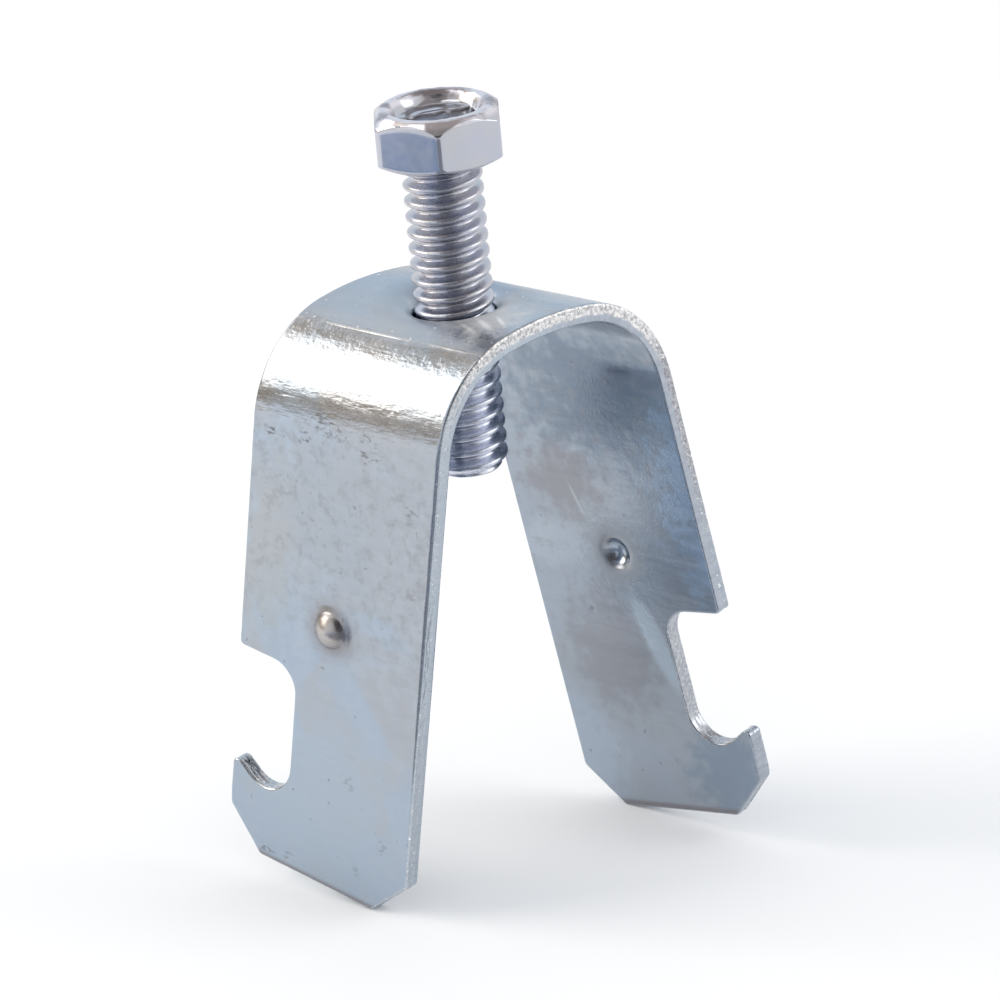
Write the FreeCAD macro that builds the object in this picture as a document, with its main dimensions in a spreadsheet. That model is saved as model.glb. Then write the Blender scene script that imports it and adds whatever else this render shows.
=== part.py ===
import FreeCAD, Part
import math
import os
import Sketcher
from FreeCAD import Placement, Rotation, Vector

# A strut pipe clamp: a strip of zinc plated sheet steel, folded into a U, and the screw through its crown.
# The legs go down into the slot of a strut channel, their hooks catch under its lips, and the screw
# presses the pipe onto the strut.
#
# Frame: +Z is up along the screw's axis, +Y runs along the pipe, and the bend lines are parallel to it.
# The origin is on the screw's axis, level with the bottoms of the two hook pockets, where the lips bear.
#
# The strip crosses its bend lines at a skew, so each leg leans along Y towards its own hook. Half a turn
# about the screw's axis carries one leg onto the other. Places on a leg are measured on the flat strip:
# "reach" is the distance along the strip from the middle of the crown, and across the strip a place is
# measured from the edge that carries the hook.

SIZES = {
    # Strip and folds, in millimetres and degrees
    "strip_width": 18.7,
    "gauge": 1.45,
    "skew": 9.3,
    "crown_radius": 24.5,
    "crown_half_angle": 9.9,
    "bend_radius": 8.5,
    "splay": 3.15,
    "foot_chamfer": 3.4,
    "corner_round": 0.45,
    # Hook notch
    "notch_reach": 36.0,
    "notch_depth": 6.0,
    "notch_corner": 2.4,
    "pocket_reach": 47.5,
    "pocket_radius": 2.6,
    "hook_slope": 35.0,
    "hook_rise": 1.3,
    "hook_round": 0.75,
    "foot_below_pocket": 6.3,
    # Dimple, pressed outwards
    "dimple_above_notch": 4.8,
    "dimple_radius": 1.65,
    "dimple_height": 0.95,
    "dimple_blend": 0.45,
    "dimple_hollow": 1.25,
    # Drawn hole in the crown
    "hole_clearance": 0.05,
    "entry_radius": 1.5,
    "entry_depth": 1.35,
    "collar_wall": 0.9,
    "collar_drop": 1.5,
    "collar_fillet": 0.6,
    # Screw, 1/4-20 by 1 inch
    "thread_diameter": 6.2,
    "shank_length": 25.4,
    "neck_diameter": 5.5,
    "neck_length": 0.35,
    "neck_taper": 0.25,
    "tip_diameter": 4.7,
    "tip_taper": 0.8,
    "screw_standoff": 11.25,
    # Head
    "head_flats": 9.5,
    "head_height": 4.25,
    "head_turn": 41.5,
    "head_round": 0.6,
    "crown_of_head": 8.9,
    "head_slope": 38.0,
    "bearing_diameter": 9.3,
    "bearing_slope": 28.0,
    "dish_rim": 8.0,
    "dish_floor": 6.2,
    "dish_depth": 0.9,
    "slot_width": 1.4,
    "slot_length": 6.6,
    "slot_depth": 0.9,
    "slot_turn": -39.0,
}

# What the sizes give, as expressions
HALF_WIDTH = "Sizes.strip_width / 2"
FOLD_WIDTH = "Sizes.strip_width / cos(Sizes.skew)"
FOOT_REACH = "(Sizes.pocket_reach + Sizes.foot_below_pocket)"
DIMPLE_REACH = "(Sizes.notch_reach - Sizes.dimple_above_notch)"
BEND_SWEEP = "(90 - Sizes.crown_half_angle - Sizes.splay)"
CROWN_ARC = "(Sizes.crown_half_angle * pi / 180 * (Sizes.crown_radius - Sizes.gauge / 2))"
BEND_ARC = f"({BEND_SWEEP} * pi / 180 * (Sizes.bend_radius - Sizes.gauge / 2))"
BEND_X = "((Sizes.crown_radius - Sizes.bend_radius) * sin(Sizes.crown_half_angle))"
BEND_Z = "((Sizes.crown_radius - Sizes.bend_radius) * cos(Sizes.crown_half_angle) - Sizes.crown_radius)"
BLOCK_REACH = f"({FOLD_WIDTH} / 2 + ({CROWN_ARC} + {BEND_ARC}) * tan(Sizes.skew) + Sizes.gauge)"
LEG_X = f"({BEND_X} + Sizes.bend_radius * cos(Sizes.splay))"
LEG_Z = f"({BEND_Z} + Sizes.bend_radius * sin(Sizes.splay))"
HOLE_RADIUS = "(Sizes.thread_diameter / 2 + Sizes.hole_clearance)"
POCKET_ARC_TOP = "((Sizes.pocket_reach - Sizes.pocket_radius) * cos(Sizes.skew))"
POCKET_ARC_SIDE = f"((Sizes.notch_depth - Sizes.pocket_radius - {HALF_WIDTH}) * sin(Sizes.skew))"
POCKET_RUN = f"({POCKET_ARC_TOP} + {POCKET_ARC_SIDE} + Sizes.pocket_radius - {CROWN_ARC} - {BEND_ARC})"
CROWN_LEVEL = f"({POCKET_RUN} * cos(Sizes.splay) - {LEG_Z})"

RADIAN = math.pi / 180

doc = FreeCAD.newDocument("StrutPipeClamp")
sheet = doc.addObject("Spreadsheet::Sheet", "Sizes")
for row, (alias, value) in enumerate(SIZES.items(), start=1):
    sheet.set(f"A{row}", str(value))
    sheet.setAlias(f"A{row}", alias)
doc.recompute()


def origin_plane(body, role):
    return next(feature for feature in body.Origin.OriginFeatures if feature.Role == role)


def attach(feature, support, axis=Vector(0, 0, 1), turn=None, x=None, y=None, z=None):
    """Lays a sketch or datum on a support, turned about one axis and shifted by bound amounts."""
    feature.AttachmentSupport = [(support, "")]
    feature.MapMode = "FlatFace"
    feature.AttachmentOffset = Placement(Vector(), Rotation(axis, 0))
    if turn:
        feature.setExpression("AttachmentOffset.Rotation.Angle", turn)
    for name, amount in (("x", x), ("y", y), ("z", z)):
        if amount:
            feature.setExpression(f"AttachmentOffset.Base.{name}", amount)
    return feature


def new_sketch(body, name, support, **offset):
    return attach(body.newObject("Sketcher::SketchObject", name), support, **offset)


def measure(expression):
    """The present value of an expression, to draw a sketch's first shape near its bound one."""
    value = sheet.evalExpression(expression.replace("Sizes.", ""))
    return float(getattr(value, "Value", value))


def bind(sketch, kind, *reference, to):
    """Adds a driving dimension and ties it to an expression."""
    index = sketch.addConstraint(Sketcher.Constraint(kind, *reference, measure(to)))
    sketch.setExpression(f"Constraints[{index}]", to)


def draw_outline(sketch, corners, arcs=None):
    """A closed outline. Each corner is a pair of expressions, None or zero where the corner is on an axis.

    arcs maps a corner's number to the centre, radius and end angles of the round stretch after it.
    An arc whose first angle is the larger one runs clockwise.
    """
    arcs = arcs or {}
    first_edge = sketch.GeometryCount
    places = [[round(measure(amount), 9) if amount else 0 for amount in corner] for corner in corners]
    points = [Vector(*place, 0) for place in places]
    starts, ends = [], []
    for index, (start, end) in enumerate(zip(points, points[1:] + points[:1])):
        if index in arcs:
            arc = (measure(amount) if amount else 0 for amount in arcs[index])
            centre_x, centre_y, radius, first, last = arc
            circle = Part.Circle(Vector(centre_x, centre_y, 0), Vector(0, 0, 1), radius)
            low, high = sorted((first * RADIAN, last * RADIAN))
            sketch.addGeometry(Part.ArcOfCircle(circle, low, high), False)
            bind(sketch, "Radius", first_edge + index, to=arcs[index][2])
            backwards = first > last
        else:
            sketch.addGeometry(Part.LineSegment(start, end), False)
            backwards = False
        starts.append(2 if backwards else 1)
        ends.append(1 if backwards else 2)
    for index, (x, y) in enumerate(corners):
        following = (index + 1) % len(corners)
        point = (first_edge + index, starts[index])
        next_point = (first_edge + following, starts[following])
        end = (first_edge + index, ends[index])
        sketch.addConstraint(Sketcher.Constraint("Coincident", *end, *next_point))
        across, along = places[index]
        for kind, amount, axis, place in (("DistanceX", x, -2, across), ("DistanceY", y, -1, along)):
            if place == 0:
                sketch.addConstraint(Sketcher.Constraint("PointOnObject", *point, axis))
            elif place > 0:
                bind(sketch, kind, -1, 1, *point, to=amount)
            else:
                bind(sketch, kind, *point, -1, 1, to=f"-({amount})")
    return sketch


def backwards(arc):
    centre_x, centre_y, radius, first, last = arc
    return centre_x, centre_y, radius, last, first


def joined(turns):
    """Corners and arcs of an outline from its round corners, each given as its two ends and its arc."""
    corners, arcs = [], {}
    for start, end, arc in turns:
        arcs[len(corners)] = arc
        corners += [start, end]
    return corners, arcs


def eased(x, y, radius, heading, turn):
    """The two ends of a rounded corner and its arc, where an outline on a heading turns clockwise."""
    after = f"({heading} - {turn})"
    tangent = f"({radius} * tan({turn} / 2))"
    start = (f"({x} - {tangent} * cos({heading}))", f"({y} - {tangent} * sin({heading}))")
    end = (f"({x} + {tangent} * cos({after}))", f"({y} + {tangent} * sin({after}))")
    centre_x = f"({start[0]} + {radius} * sin({heading}))"
    centre_y = f"({start[1]} - {radius} * cos({heading}))"
    return start, end, (centre_x, centre_y, radius, f"{heading} + 90", f"{after} + 90")


def add(body, kind, name, sketch, **bound):
    """A PartDesign feature on a sketch, with its sizes bound to expressions."""
    doc.recompute()
    feature = body.newObject(f"PartDesign::{kind}", name)
    feature.Profile = sketch
    for size, expression in bound.items():
        feature.setExpression(size, expression)
    return feature


def turn_about(body, kind, name, sketch):
    """A Revolution or a Groove, once round the sketch's own vertical axis."""
    feature = add(body, kind, name, sketch)
    feature.ReferenceAxis = (sketch, ["V_Axis"])
    feature.Angle = 360
    return feature


def folded_block(body):
    """The crown and its two bends, square cut and wider than the strip."""
    crown, bend, gauge = "Sizes.crown_radius", "Sizes.bend_radius", "Sizes.gauge"
    crown_y = f"(-{crown})"
    half, end = "Sizes.crown_half_angle", "Sizes.splay"
    reach = [(crown, bend), (f"({crown} - {gauge})", f"({bend} - {gauge})")]
    seams, ends = [], []
    for big, small in reach:
        seams.append((f"({big} * sin({half}))", f"({crown_y} + {big} * cos({half}))"))
        ends.append((f"({BEND_X} + {small} * cos({end}))", f"({BEND_Z} + {small} * sin({end}))"))
    left_seams, left_ends = ([(f"(-{x})", y) for x, y in side] for side in (seams, ends))
    corners = [ends[0], seams[0], left_seams[0], left_ends[0]]
    corners += [left_ends[1], left_seams[1], seams[1], ends[1]]
    arcs = {}
    for layer, (big, small) in enumerate(reach):
        right = (BEND_X, BEND_Z, small, end, f"(90 - {half})")
        middle = (None, crown_y, big, f"(90 - {half})", f"(90 + {half})")
        left = (f"(-{BEND_X})", BEND_Z, small, f"(90 + {half})", f"(180 - {end})")
        if layer == 0:
            arcs.update({0: right, 1: middle, 2: left})
        else:
            arcs.update({4: backwards(left), 5: backwards(middle), 6: backwards(right)})
    section = draw_outline(new_sketch(body, "fold_section", origin_plane(body, "XZ_Plane")), corners, arcs)
    block = add(body, "Pad", "folded_block", section, Length=f"2 * {BLOCK_REACH}")
    block.Midplane = True
    return block


def trim_edges(body, name, centre_x, centre_z, start, sweep, radius, slip):
    """Cuts both edges of the skewed strip on one bend: the waste slides along the bend as it turns."""
    plane = origin_plane(body, "YZ_Plane")
    inside, outside = f"({radius} - 2 * Sizes.gauge)", f"({radius} + Sizes.gauge)"
    middle = f"({radius} - Sizes.gauge / 2)"
    trims = []
    place = {"axis": Vector(1, 0, 0), "turn": start, "y": centre_z, "z": centre_x}
    for side, sign in (("near", "-"), ("far", "+")):
        sketch = new_sketch(body, f"{name}_{side}_section", plane, **place)
        edge, beyond = f"({slip} {sign} {FOLD_WIDTH} / 2)", f"({slip} {sign} 2 * {BLOCK_REACH})"
        draw_outline(sketch, [(edge, inside), (beyond, inside), (beyond, outside), (edge, outside)])
        trim = add(body, "SubtractiveHelix", f"{name}_{side}", sketch)
        trim.ReferenceAxis = (sketch, ["H_Axis"])
        trim.Mode = "height-turns-angle"
        trim.setExpression("Turns", f"{sweep} / 360")
        trim.setExpression("Height", f"{sweep} * pi / 180 * {middle} * tan(Sizes.skew)")
        trim.LeftHanded = True
        trim.Reversed = True
        trims.append(trim)
    return trims


def leg_outline(body, face):
    """The flat leg with its hook notch; X runs across the strip from the hook's edge, Y along it."""
    turned = "90 + Sizes.skew"
    edge_x = f"({HALF_WIDTH} * sin(Sizes.skew))"
    edge_y = f"(-{HALF_WIDTH} * cos(Sizes.skew))"
    sketch = new_sketch(body, "leg_outline", face, turn=turned, x=edge_x, y=edge_y)
    bend_line = f"({CROWN_ARC} + {BEND_ARC}) / cos(Sizes.skew)"
    near_top = f"({bend_line} + {HALF_WIDTH} * tan(Sizes.skew))"
    far_top = f"({bend_line} - {HALF_WIDTH} * tan(Sizes.skew))"
    width, foot, chamfer = "Sizes.strip_width", FOOT_REACH, "Sizes.foot_chamfer"
    wall, roof, corner = "Sizes.notch_depth", "Sizes.notch_reach", "Sizes.notch_corner"
    corner_x, corner_y = f"({wall} - {corner})", f"({roof} + {corner})"
    pocket = "Sizes.pocket_radius"
    pocket_x, pocket_y = f"({wall} - {pocket})", f"(Sizes.pocket_reach - {pocket})"
    ramp_x = f"({pocket_x} - {pocket} * sin(Sizes.hook_slope))"
    ramp_y = f"({pocket_y} + {pocket} * cos(Sizes.hook_slope))"
    tip = "(Sizes.pocket_reach - Sizes.hook_rise)"
    land = f"({ramp_x} - ({ramp_y} - {tip}) / tan(Sizes.hook_slope))"
    side_end, ease, slope = f"({foot} - {chamfer})", "Sizes.corner_round", "Sizes.hook_slope"
    turns = [
        eased("0", roof, ease, "90", "90"),
        ((corner_x, roof), (wall, corner_y), (corner_x, corner_y, corner, "-90", "0")),
        ((wall, pocket_y), (ramp_x, ramp_y), (pocket_x, pocket_y, pocket, "0", f"90 + {slope}")),
        eased(land, tip, "Sizes.hook_round", f"(180 + {slope})", slope),
        eased("0", tip, ease, "180", "90"),
        eased("0", side_end, ease, "90", "45"),
        eased(chamfer, foot, ease, "45", "45"),
        eased(f"({width} - {chamfer})", foot, ease, "0", "45"),
        eased(width, side_end, ease, "(-45)", "45"),
    ]
    corners, arcs = joined(turns)
    return draw_outline(sketch, [*corners, (width, far_top), (None, near_top)], arcs)


def dimple(body, face):
    """A round dimple pressed outwards: a blended cap on the outer face and a hollow behind it."""
    place = {"x": f"(-{DIMPLE_REACH} * cos(Sizes.skew))", "y": f"(-{DIMPLE_REACH} * sin(Sizes.skew))"}
    upright = {"axis": Vector(-1, 0, 0), "turn": "90"}
    height, base, blend = "Sizes.dimple_height", "Sizes.dimple_radius", "Sizes.dimple_blend"
    ball = f"(({base}^2 + {height}^2) / (2 * {height}))"
    ball_y = f"({height} - {ball})"
    blend_x = f"sqrt(({ball} + {blend})^2 - ({blend} - {ball_y})^2)"
    share = f"{ball} / ({ball} + {blend})"
    meet_x, meet_y = f"({share} * {blend_x})", f"({ball_y} + {share} * ({blend} - {ball_y}))"
    meet_angle = f"(asin(({meet_y} - {ball_y}) / {ball}) / 1 deg)"
    inside = "(-Sizes.gauge / 2)"
    corners = [(None, height), (meet_x, meet_y), (blend_x, None), (blend_x, inside), (None, inside)]
    cap_arc = ("0", ball_y, ball, "90", meet_angle)
    blend_arc = (blend_x, blend, blend, f"180 + {meet_angle}", "270")
    cap_sketch = new_sketch(body, "dimple_cap_profile", face, **upright, **place)
    draw_outline(cap_sketch, corners, {0: cap_arc, 1: blend_arc})
    cap = turn_about(body, "Revolution", "dimple_cap", cap_sketch)
    mouth, depth = "Sizes.dimple_hollow", height
    bowl = f"(({mouth}^2 + {depth}^2) / (2 * {depth}))"
    inner_face = "(-Sizes.gauge)"
    bowl_top, bowl_y = f"({inner_face} + {depth})", f"({inner_face} + {depth} - {bowl})"
    below = "(-2 * Sizes.gauge)"
    corners = [(None, bowl_top), (mouth, inner_face), (mouth, below), (None, below)]
    bowl_arc = ("0", bowl_y, bowl, "90", f"(asin(({inner_face} - {bowl_y}) / {bowl}) / 1 deg)")
    hollow_sketch = new_sketch(body, "dimple_hollow_profile", face, **upright, **place)
    draw_outline(hollow_sketch, corners, {0: bowl_arc})
    return [cap, turn_about(body, "Groove", "dimple_hollow", hollow_sketch)]


def drawn_hole(body):
    """The hole in the crown, drawn down into a collar, with its rounded entry."""
    plane = origin_plane(body, "XZ_Plane")
    outer = f"({HOLE_RADIUS} + Sizes.collar_wall)"
    root = "(Sizes.collar_fillet + Sizes.gauge / 2)"
    middle, end = "(-Sizes.gauge / 2)", "(-Sizes.gauge - Sizes.collar_drop)"
    root_x, root_y = f"({outer} + {root})", f"({middle} - {root})"
    corners = [(None, middle), (root_x, middle), (outer, root_y), (outer, end), (None, end)]
    root_arc = (root_x, root_y, root, "90", "180")
    collar_sketch = draw_outline(new_sketch(body, "collar_profile", plane), corners, {1: root_arc})
    turn_about(body, "Revolution", "collar", collar_sketch)
    entry, depth = "Sizes.entry_radius", "(-Sizes.entry_depth)"
    entry_x, entry_y = f"({HOLE_RADIUS} + {entry})", f"({depth} + {entry})"
    below = f"({end} - Sizes.gauge)"
    corners = [(None, entry_y), (entry_x, entry_y), (HOLE_RADIUS, depth), (HOLE_RADIUS, below)]
    corners.append((None, below))
    entry_arc = (entry_x, depth, entry, "90", "180")
    hole_sketch = draw_outline(new_sketch(body, "hole_profile", plane), corners, {1: entry_arc})
    turn_about(body, "Groove", "hole", hole_sketch)


def clamp_body():
    body = doc.addObject("PartDesign::Body", "clamp_body")
    folded_block(body)
    half, radius, bend_radius = "Sizes.crown_half_angle", "Sizes.crown_radius", "Sizes.bend_radius"
    crown = trim_edges(body, "crown_trim", None, f"(-{radius})", None, half, radius, "0")
    slip = f"(-{CROWN_ARC} * tan(Sizes.skew))"
    bend = trim_edges(body, "bend_trim", BEND_X, BEND_Z, half, BEND_SWEEP, bend_radius, slip)
    run = f"({CROWN_ARC} + {BEND_ARC})"
    face = attach(
        body.newObject("PartDesign::Plane", "leg_face"), origin_plane(body, "XY_Plane"),
        axis=Vector(0, -1, 0), turn="90 + Sizes.splay",
        x=f"({LEG_X} - {run} * sin(Sizes.splay))", z=f"({LEG_Z} + {run} * cos(Sizes.splay))",
    )
    leg = add(body, "Pad", "leg", leg_outline(body, face), Length="Sizes.gauge")
    repeated = [*crown, *bend, leg, *dimple(body, face)]
    halves = body.newObject("PartDesign::PolarPattern", "both_legs")
    halves.Originals = repeated
    halves.Axis = (origin_plane(body, "Z_Axis"), [""])
    halves.Angle = 360
    halves.Occurrences = 2
    body.Tip = halves
    drawn_hole(body)
    body.setExpression("Placement.Base.z", CROWN_LEVEL)
    return body


def clamp_screw():
    body = doc.addObject("PartDesign::Body", "clamp_screw")
    flat, upright = origin_plane(body, "XY_Plane"), origin_plane(body, "XZ_Plane")
    height, flats = "Sizes.head_height", "Sizes.head_flats"
    corner = f"({flats} / 2 / cos(30))"
    turns = []
    for bearing in range(180, -180, -60):
        x, y = f"({corner} * cos({bearing}))", f"({corner} * sin({bearing}))"
        turns.append(eased(x, y, "Sizes.head_round", f"({bearing} - 60)", "60"))
    hexagon = draw_outline(new_sketch(body, "hexagon", flat, turn="Sizes.head_turn"), *joined(turns))
    add(body, "Pad", "head", hexagon, Length=height)
    neck, thread = "(Sizes.neck_diameter / 2)", "(Sizes.thread_diameter / 2)"
    tip = "(Sizes.tip_diameter / 2)"
    end, taper = "(-Sizes.shank_length)", "(Sizes.tip_taper - Sizes.shank_length)"
    corners = [
        (None, None),
        (neck, None),
        (neck, "(-Sizes.neck_length)"),
        (thread, "(-Sizes.neck_length - Sizes.neck_taper)"),
        (thread, taper),
        (tip, end),
        (None, end),
    ]
    shank = draw_outline(new_sketch(body, "shank_profile", upright), corners)
    turn_about(body, "Revolution", "shank", shank)
    top, bearing = "(Sizes.crown_of_head / 2)", "(Sizes.bearing_diameter / 2)"
    drop = f"({height} - ({flats} - {top}) * tan(Sizes.head_slope))"
    lift = f"(({flats} - {bearing}) * tan(Sizes.bearing_slope))"
    rim, floor = "(Sizes.dish_rim / 2)", "(Sizes.dish_floor / 2)"
    depth = f"({height} - Sizes.dish_depth)"
    grooves = {
        "head_top": [(top, height), (flats, height), (flats, drop)],
        "head_foot": [(bearing, None), (flats, None), (flats, lift)],
        "dish": [(None, height), (rim, height), (floor, depth), (None, depth)],
    }
    for name, corners in grooves.items():
        profile = draw_outline(new_sketch(body, f"{name}_profile", upright), corners)
        turn_about(body, "Groove", name, profile)
    along, across = "(Sizes.slot_length / 2)", "(Sizes.slot_width / 2)"
    corners = [
        (f"(-{along})", f"(-{across})"),
        (along, f"(-{across})"),
        (along, across),
        (f"(-{along})", across),
    ]
    slot = draw_outline(new_sketch(body, "slot_outline", flat, turn="Sizes.slot_turn", z=height), corners)
    add(body, "Pocket", "slot", slot, Length="Sizes.dish_depth + Sizes.slot_depth")
    body.setExpression("Placement.Base.z", f"{CROWN_LEVEL} + Sizes.screw_standoff")
    return body


def export(bodies):
    doc.recompute()
    for item in doc.Objects:
        if {"Invalid", "Error"} & set(item.State):
            raise RuntimeError(f"{item.Name} failed: {item.State}")
    os.makedirs("parts", exist_ok=True)
    for body in bodies:
        if body.Shape.isNull() or not body.Shape.isValid():
            raise RuntimeError(f"{body.Label} has no valid shape")
        body.Shape.exportStep(f"parts/{body.Label}.step")
        box = body.Shape.BoundBox
        print(body.Label, "solids", len(body.Shape.Solids), "volume", round(body.Shape.Volume, 1))
        print("  x", round(box.XMin, 2), round(box.XMax, 2), "y", round(box.YMin, 2), round(box.YMax, 2))
        print("  z", round(box.ZMin, 2), round(box.ZMax, 2))


export([clamp_body(), clamp_screw()])
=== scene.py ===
import math

import bpy
import numpy as np
from mathutils import Matrix, Vector, noise
from mathutils.geometry import delaunay_2d_cdt


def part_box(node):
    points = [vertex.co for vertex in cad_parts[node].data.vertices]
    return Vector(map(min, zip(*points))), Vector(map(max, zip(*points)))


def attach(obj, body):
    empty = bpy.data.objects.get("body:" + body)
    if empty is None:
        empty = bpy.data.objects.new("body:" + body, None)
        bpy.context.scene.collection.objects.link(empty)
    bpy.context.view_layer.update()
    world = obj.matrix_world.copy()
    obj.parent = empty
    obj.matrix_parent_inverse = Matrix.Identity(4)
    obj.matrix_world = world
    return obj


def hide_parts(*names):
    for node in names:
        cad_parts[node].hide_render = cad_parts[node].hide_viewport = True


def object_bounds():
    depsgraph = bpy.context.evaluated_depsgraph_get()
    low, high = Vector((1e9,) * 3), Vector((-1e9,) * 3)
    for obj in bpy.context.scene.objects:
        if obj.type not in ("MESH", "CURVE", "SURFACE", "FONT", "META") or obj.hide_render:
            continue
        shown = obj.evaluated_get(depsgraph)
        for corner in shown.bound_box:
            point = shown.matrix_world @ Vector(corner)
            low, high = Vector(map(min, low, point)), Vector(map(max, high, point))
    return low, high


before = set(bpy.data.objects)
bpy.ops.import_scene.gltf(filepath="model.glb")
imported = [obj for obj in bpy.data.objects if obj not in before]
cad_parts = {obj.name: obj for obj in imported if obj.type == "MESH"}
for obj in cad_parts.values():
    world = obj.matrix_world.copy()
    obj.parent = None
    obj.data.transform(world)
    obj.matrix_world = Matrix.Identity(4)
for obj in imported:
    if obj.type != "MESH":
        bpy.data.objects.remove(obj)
cad_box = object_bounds()

# A strut pipe clamp of zinc plated steel: a folded sheet strip and the hex head screw through its crown.
# Lengths are in millimetres in the part's own frame, and become metres in the meshes. "Reach" is a place's
# distance along the flat strip from the middle of the crown, and "across" its distance from the centreline.
# "Run" and "slip" say the same square to the bend lines and along them. Half a turn about Z carries one leg
# onto the other.

MM = 0.001
SLIVER = 1e-6

# Strip and folds
STRIP_WIDTH = 18.7
GAUGE = 1.45
OUTER, INNER = GAUGE / 2, -GAUGE / 2
SKEW = math.radians(9.3)
CROWN_RADIUS = 24.5
CROWN_SWEEP = math.radians(9.9)
BEND_RADIUS = 8.5
SPLAY = math.radians(3.15)
CROWN_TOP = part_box("clamp_body")[1].z / MM

# Leg's outline: distances along the strip, and depths from the edge that carries the hook
NOTCH_REACH = 36.0
NOTCH_DEPTH = 6.0
NOTCH_CORNER = 2.4
POCKET_REACH = 47.5
POCKET_RADIUS = 2.6
HOOK_SLOPE = math.radians(35)
HOOK_RISE = 1.3
HOOK_ROUND = 0.75
FOOT_REACH = 53.8
FOOT_CHAMFER = 3.4
CORNER_ROUND = 0.45
FOOT_ROUND = 0.6

# Dimples, with the reach of each, hole and crease
DIMPLES = (31.2, -31.2)
DIMPLE_RADIUS = 1.5
DIMPLE_HEIGHT = 0.95
DIMPLE_HOLLOW = 1.3
SKIRT_HEIGHT = 0.16
SKIRT_WIDTH = 0.45
LIP_HEIGHT = 0.06
LIP_WIDTH = 0.3
HOLE_RADIUS = 3.15
ENTRY_WIDTH = 3.0
ENTRY_DEPTH = 1.5
DIP_DEPTH = 0.08
DIP_SPREAD = 3.2
COLLAR_WALL = 0.9
COLLAR_DROP = 1.5
COLLAR_LEAD = 0.15
COLLAR_ROUND = 0.12
COLLAR_ROOT = 0.6
CREASE_ANGLE = math.radians(27.3)
CREASE_WIDTH = 0.13

# Sheared edge: the roundings, the torn share of the thickness, and how far from its end the foot was cut off
ROLLOVER = 0.24
FOOT_ROLLOVER = 0.42
BURR_ROUND = 0.12
FRACTURE_SHARE = 0.6
FRACTURE_DEPTH = 0.045
WAVE_HEIGHT = 0.02
FOOT_CUT, FOOT_CUT_FULL = 4.5, 3.0
# Wear of its parts, as shares of the fracture's depth
ROLLED_WEAR, TORN_WEAR, CUT_WEAR, BURR_WEAR = 0.15, 1.0, 0.12, 0.1

# Screw
screw_low, screw_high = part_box("clamp_screw")
HEAD_TOP = screw_high.z / MM
TIP_END = screw_low.z / MM
SHANK_LENGTH = 25.4
HEAD_FOOT = TIP_END + SHANK_LENGTH
THREAD_RADIUS = 3.1
THREAD_DEPTH = 0.72
PITCH = 1.27
# Thread's form in shares of the pitch: from a crest's middle to the root, and a flank's width and rounding
ROOT_START = 0.44
FLANK_WIDTH = 0.37
FLANK_ROUNDING = 0.75
CREST_LEVEL = CROWN_TOP + 9.272
CREST_AZIMUTH = math.radians(132)
NECK_RADIUS = 2.72
NECK_LENGTH = 0.75
THREAD_FADE = (-0.5, 0.35)
TIP_RADIUS = 2.35
TIP_TAPER = 0.85
HEAD_FLATS = 9.5
HEAD_TURN = math.radians(41.5)
HEAD_ROUND = 0.75
HEAD_CROWN = 4.15
SHOULDER_ROUND = 0.5
HEAD_SLOPE = math.radians(38)
BEARING_RADIUS = 4.65
BEARING_SLOPE = math.radians(28)
DISH_RIM = 3.8
DISH_DEPTH = 0.95
DISH_SLOPE = (DISH_RIM - 0.95, DISH_RIM + 0.1)
SLOT_WIDTH = 1.5
SLOT_DEPTH = 0.8
SLOT_SIDE = (SLOT_WIDTH / 2 - 0.08, SLOT_WIDTH / 2 + 0.14)
SLOT_TURN = math.radians(-33)
SLOT_END = DISH_RIM - 0.75
SLOT_RUNOUT = 0.3
LUMP_HEIGHT = 0.022
RIPPLE_HEIGHT = 0.016
MARK_DEPTH = 0.035
MARKED_RIM = (2.9, 3.7)
# Small roundings of the head's edges, as steps of (inset, distance from the edge's level)
TOP_EDGE = ((0.05, 0.005), (0.018, 0.06), (0, 0.15))
HEEL_EDGE = ((0, 0.12), (0.03, 0.045), (0.1, 0.005))
# Rings under the head, as (radius, distance below its foot), and the radii of those on the tip's end
NECK_RINGS = (
    (BEARING_RADIUS - 0.1, 0),
    (NECK_RADIUS + 0.25, 0),
    (NECK_RADIUS + 0.06, 0.06),
    (NECK_RADIUS, 0.2),
)
TIP_RINGS = (TIP_RADIUS - 0.1, TIP_RADIUS - 0.8)

# Mesh: spacing of its lines and points, gaps between its regions, and the loop of faces beside an outline
OUTLINE_STEP = 0.28
BEND_STEP = 0.33
BEND_MARGIN = 0.5
FLAT_START = 0.3
FLAT_STEP = 0.62
GRID_HALF = 26
RIM_CLEARANCE, HOLE_CLEARANCE, JUST_INSIDE = 0.2, 0.25, 0.999
DIMPLE_STEP = 0.14
DIMPLE_SPACING = 0.22
DIMPLE_MARGIN = 1.0
DIMPLE_CLEARANCE = 0.1
THREAD_STEP = 0.07
THREAD_START, TIP_GAP = 0.3, 0.02
SUPPORT = 0.12
HOLE_COUNT = 96
SCREW_COUNT = 192
CORNER_BUNCHING = 0.1
DISH_ROWS = 66
DISH_START = 0.06
SHOULDER_SHARES = (0.1, 0.22, 0.34, 0.46, 0.6, 0.78, 0.93)
SIDE_SHARES = (0.1, 0.5, 0.9)
# Rows over the rounded rim, the straight edge, the burr, the hole's entry and the collar's root
RIM_ROWS, EDGE_ROWS, BURR_ROWS, ENTRY_ROWS, ROOT_ROWS = 6, 12, 4, 14, 6

# The strip's materials, in the order of its slots
PLATED, SHEARED = 0, 1

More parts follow.
